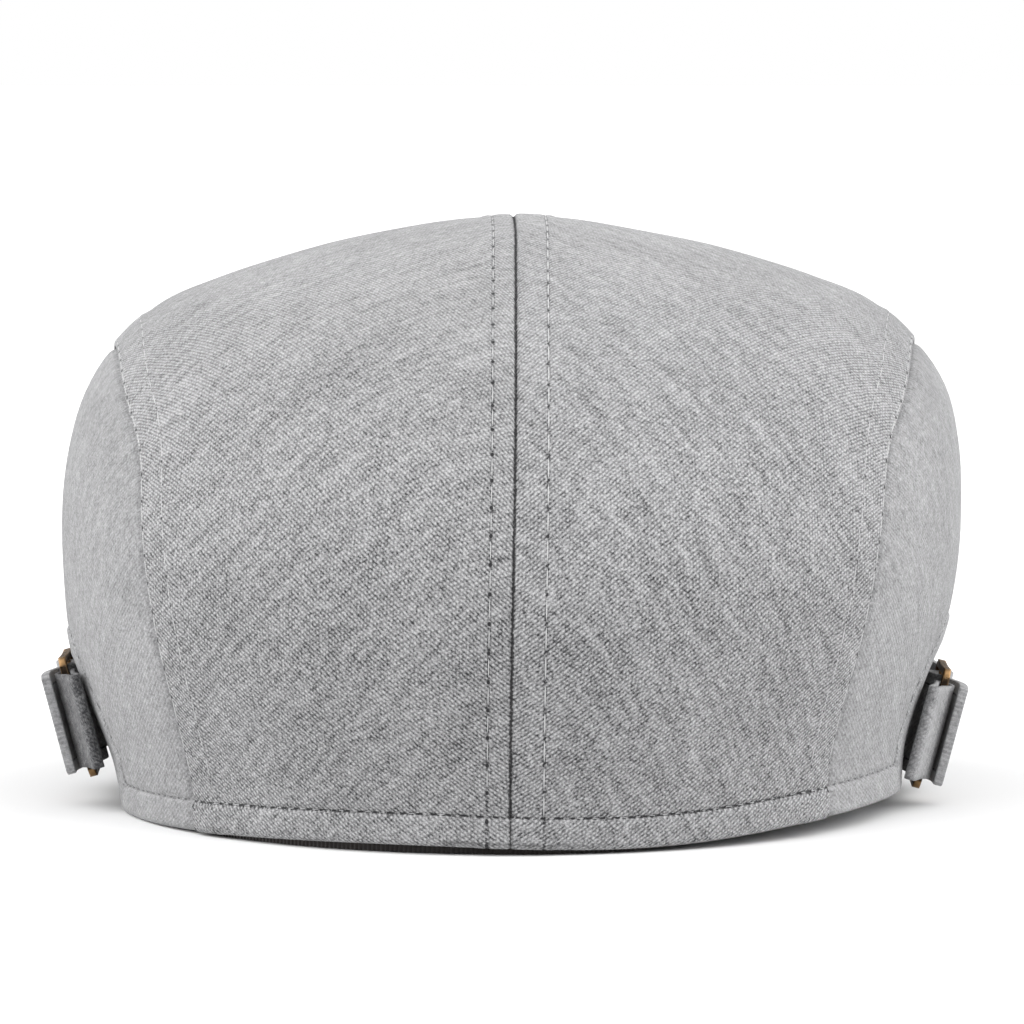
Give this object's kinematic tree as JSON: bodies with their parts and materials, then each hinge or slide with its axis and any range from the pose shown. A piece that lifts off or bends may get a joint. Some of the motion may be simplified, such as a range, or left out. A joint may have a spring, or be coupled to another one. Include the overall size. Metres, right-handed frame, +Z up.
{
  "type": "flat cap",
  "caption": "Flat cap of grey woven cloth with a rounded back, a short stiff peak, a dark sweatband and a buckled strap at each side.",
  "frame": {"origin": "middle of the cap's box, on the floor it rests on", "axes": "+Z up, -Y towards the peak, +Y towards the nape, +X towards the wearer's left"},
  "size_m": [0.1922, 0.268, 0.1219],
  "materials": {
    "top_cloth": "matt heather-grey weave",
    "side_cloth": "matt heather-grey weave",
    "band_cloth": "matt black ribbed cloth",
    "peak_cloth": "matt heather-grey weave",
    "strap_cloth": "matt heather-grey weave",
    "brass": "aged satin"
  },
  "bodies": {
    "root": {"top_panel_left": "top_cloth", "top_panel_right": "top_cloth", "side_panel_left": "side_cloth", "side_panel_right": "side_cloth", "sweatband": "band_cloth", "peak": "peak_cloth", "strap_left": "strap_cloth", "strap_right": "strap_cloth", "keeper_left": "strap_cloth", "keeper_right": "strap_cloth", "buckle_left": "brass", "buckle_right": "brass"}
  },
  "joints": []
}
